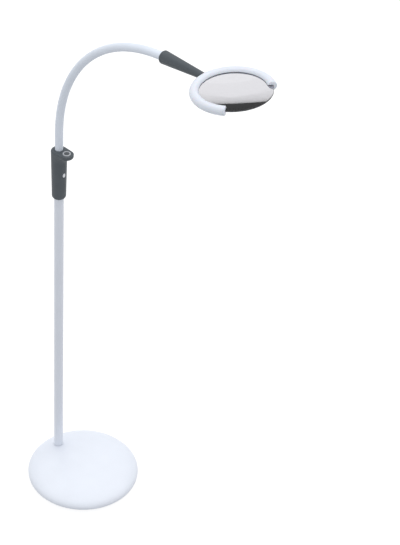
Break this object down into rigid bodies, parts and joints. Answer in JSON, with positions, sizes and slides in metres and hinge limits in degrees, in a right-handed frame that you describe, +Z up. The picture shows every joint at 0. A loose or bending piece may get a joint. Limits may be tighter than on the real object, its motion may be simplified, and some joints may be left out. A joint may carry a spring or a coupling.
{
  "type": "magnifying floor lamp",
  "caption": "Floor-standing magnifying lamp: weighted round base, lift-off pole, handle with push button, flexible arched neck and a C-shaped light ring round a large lens.",
  "frame": {"origin": "centre of the base's underside, on the foot pad", "axes": "+Z up along the pole, +X from the pole towards the head, so the arched neck lies in the XZ plane"},
  "size_m": [0.5111, 0.215, 1.1186],
  "materials": {
    "white_paint": "satin powder coat",
    "white_plastic": "satin moulded",
    "sleeve": "matt smooth silicone",
    "dark_plastic": "satin moulded",
    "button_dark": "matt",
    "bezel_grey": "satin",
    "badge": "gloss",
    "black_plastic": "matt",
    "board": "solder mask",
    "led_white": "solder mask",
    "diffuser": "frosted",
    "steel": "plain zinc",
    "iron": "as cast",
    "pad_rubber": "matt",
    "lens": "polished"
  },
  "bodies": {
    "base": {"base_cover": "white_paint", "ballast_weight": "iron", "base_plate": "steel", "foot_pad": "pad_rubber", "pole_socket": "steel", "socket_screw": "steel", "plate_screw_1": "steel", "plate_screw_2": "steel", "plate_screw_3": "steel"},
    "pole": {"pole_tube": "white_paint", "pole_plug": "steel"},
    "handle": {"handle_shell_left": "dark_plastic", "handle_shell_right": "dark_plastic", "handle_spigot": "steel", "handle_badge": "badge", "handle_screw_1": "steel", "handle_screw_2": "steel", "handle_screw_3": "steel", "dc_inlet": "black_plastic", "driver_board": "board", "switch_board": "board", "tact_switch": "black_plastic", "button_bezel": "bezel_grey", "arm_ferrule_lower": "white_plastic"},
    "power_button": {"power_button": "button_dark"},
    "neck_link_1": {"core_link_1": "steel", "sleeve_segment_1": "sleeve"},
    "neck_link_2": {"core_link_2": "steel", "sleeve_segment_2": "sleeve"},
    "neck_link_3": {"core_link_3": "steel", "sleeve_segment_3": "sleeve"},
    "neck_link_4": {"core_link_4": "steel", "sleeve_segment_4": "sleeve"},
    "neck_link_5": {"core_link_5": "steel", "sleeve_segment_5": "sleeve"},
    "neck_link_6": {"core_link_6": "steel", "sleeve_segment_6": "sleeve"},
    "neck_link_7": {"core_link_7": "steel", "sleeve_segment_7": "sleeve"},
    "neck_link_8": {"core_link_8": "steel", "sleeve_segment_8": "sleeve"},
    "neck_link_9": {"core_link_9": "steel", "sleeve_segment_9": "sleeve"},
    "neck_link_10": {"core_link_10": "steel", "sleeve_segment_10": "sleeve"},
    "head": {"arm_ferrule_upper": "white_plastic", "grip_upper_shell": "dark_plastic", "grip_lower_shell": "dark_plastic", "grip_screw_1": "steel", "grip_screw_2": "steel", "head_housing": "white_plastic", "led_board": "led_white", "diffuser": "diffuser", "end_cap_left": "white_plastic", "end_cap_right": "white_plastic", "lens": "lens"}
  },
  "joints": [
    {"name": "pole_lift", "type": "slide", "parent": "base", "child": "pole", "axis": [0, 0, 1], "range_m": [0, 0.02]},
    {"name": "handle_lift", "type": "slide", "parent": "pole", "child": "handle", "axis": [0, 0, 1], "range_m": [0, 0.03]},
    {"name": "button_press", "type": "slide", "parent": "handle", "child": "power_button", "axis": [0, 0, -1], "range_m": [0, 0.001], "stiffness_N_per_m": 1200, "springref_m": -0.0008},
    {"name": "neck_bend_1", "type": "hinge", "parent": "handle", "child": "neck_link_1", "pos_m": [-0.074, 0, 0.7691], "axis": [0, 1, 0], "range_deg": [-20, 18]},
    {"name": "neck_sway_2", "type": "hinge", "parent": "neck_link_1", "child": "neck_link_2", "pos_m": [-0.07332, 0, 0.81268], "axis": [0.9977, 0, -0.0676], "range_deg": [-18, 18]},
    {"name": "neck_bend_3", "type": "hinge", "parent": "neck_link_2", "child": "neck_link_3", "pos_m": [-0.0672, 0, 0.85581], "axis": [0, 1, 0], "range_deg": [-20, 18]},
    {"name": "neck_sway_4", "type": "hinge", "parent": "neck_link_3", "child": "neck_link_4", "pos_m": [-0.05483, 0, 0.89758], "axis": [0.9354, 0, -0.3535], "range_deg": [-18, 18]},
    {"name": "neck_bend_5", "type": "hinge", "parent": "neck_link_4", "child": "neck_link_5", "pos_m": [-0.03648, 0, 0.93709], "axis": [0, 1, 0], "range_deg": [-20, 18]},
    {"name": "neck_sway_6", "type": "hinge", "parent": "neck_link_5", "child": "neck_link_6", "pos_m": [-0.01256, 0, 0.97349], "axis": [0.7931, 0, -0.6091], "range_deg": [-18, 18]},
    {"name": "neck_bend_7", "type": "hinge", "parent": "neck_link_6", "child": "neck_link_7", "pos_m": [0.01644, 0, 1.006], "axis": [0, 1, 0], "range_deg": [-20, 18]},
    {"name": "neck_sway_8", "type": "hinge", "parent": "neck_link_7", "child": "neck_link_8", "pos_m": [0.04987, 0, 1.03392], "axis": [0.5829, 0, -0.8125], "range_deg": [-18, 18]},
    {"name": "neck_bend_9", "type": "hinge", "parent": "neck_link_8", "child": "neck_link_9", "pos_m": [0.08704, 0, 1.05665], "axis": [0, 1, 0], "range_deg": [-20, 18]},
    {"name": "neck_sway_10", "type": "hinge", "parent": "neck_link_9", "child": "neck_link_10", "pos_m": [0.12712, 0, 1.0737], "axis": [0.3228, 0, -0.9465], "range_deg": [-18, 18]},
    {"name": "neck_bend_11", "type": "hinge", "parent": "neck_link_10", "child": "head", "pos_m": [0.16927, 0, 1.0847], "axis": [0, 1, 0], "range_deg": [-20, 18]}
  ]
}
